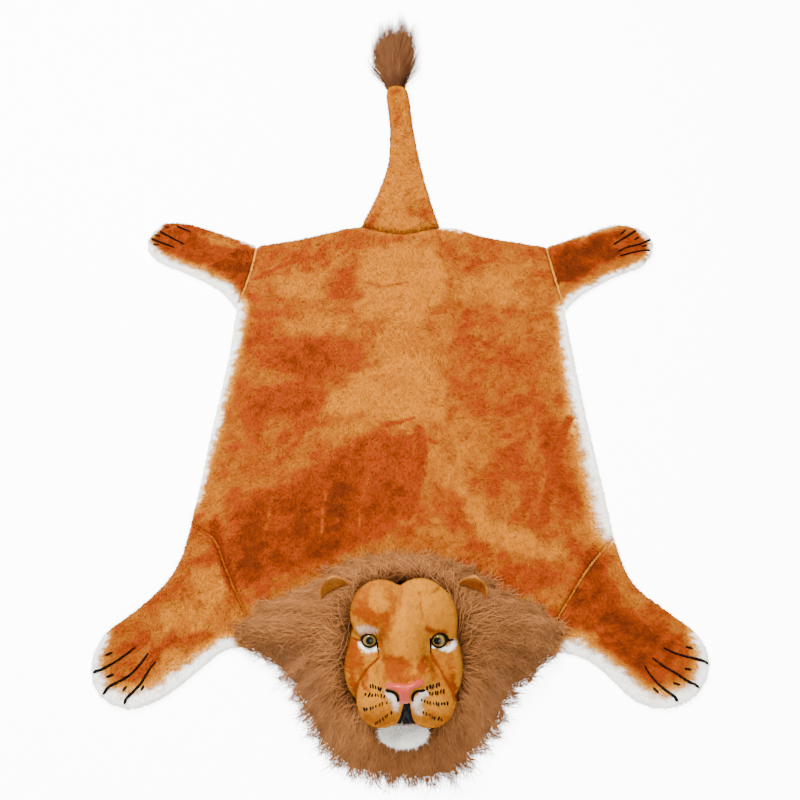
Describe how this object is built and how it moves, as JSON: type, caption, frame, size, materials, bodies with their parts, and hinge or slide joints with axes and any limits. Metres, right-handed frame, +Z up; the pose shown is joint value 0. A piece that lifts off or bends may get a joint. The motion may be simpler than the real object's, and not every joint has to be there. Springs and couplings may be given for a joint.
{
  "type": "lion-shaped plush floor rug",
  "caption": "Flat plush floor rug in the shape of a lion lying spread out, with paws, a tufted tail, a long-fur mane and a stuffed head resting on its front end.",
  "frame": {"origin": "on the floor, under the middle of the whole rug's bounding box", "axes": "+Y towards the tail, -Y towards the head, +X to the right as seen by someone standing at the head, +Z up from the floor"},
  "size_m": [0.915, 1.4421, 0.1902],
  "materials": {
    "golden_plush": "short crushed plush, golden tan clouded with burnt orange, white along the flanks and paws",
    "face_plush": "very short smooth plush, tan with airbrushed orange",
    "long_fur": "long soft brown pile",
    "white_fluff": "fluffy off-white pile",
    "toy_eye": "glossy olive-gold toy eye with a black pupil",
    "pink_nose": "moulded salmon-pink nose, satin gloss",
    "black_lining": "matt black lining cloth"
  },
  "bodies": {
    "root": {"body_panel": "golden_plush", "leg_front_left": "golden_plush", "leg_front_right": "golden_plush", "leg_hind_left": "golden_plush", "leg_hind_right": "golden_plush", "tail": "golden_plush", "tail_tuft": "long_fur", "mane": "long_fur", "head": "face_plush", "ear_left": "face_plush", "ear_right": "face_plush", "eye_left": "toy_eye", "eye_right": "toy_eye", "nose": "pink_nose", "mouth_lining": "black_lining", "chin": "white_fluff"}
  },
  "joints": []
}
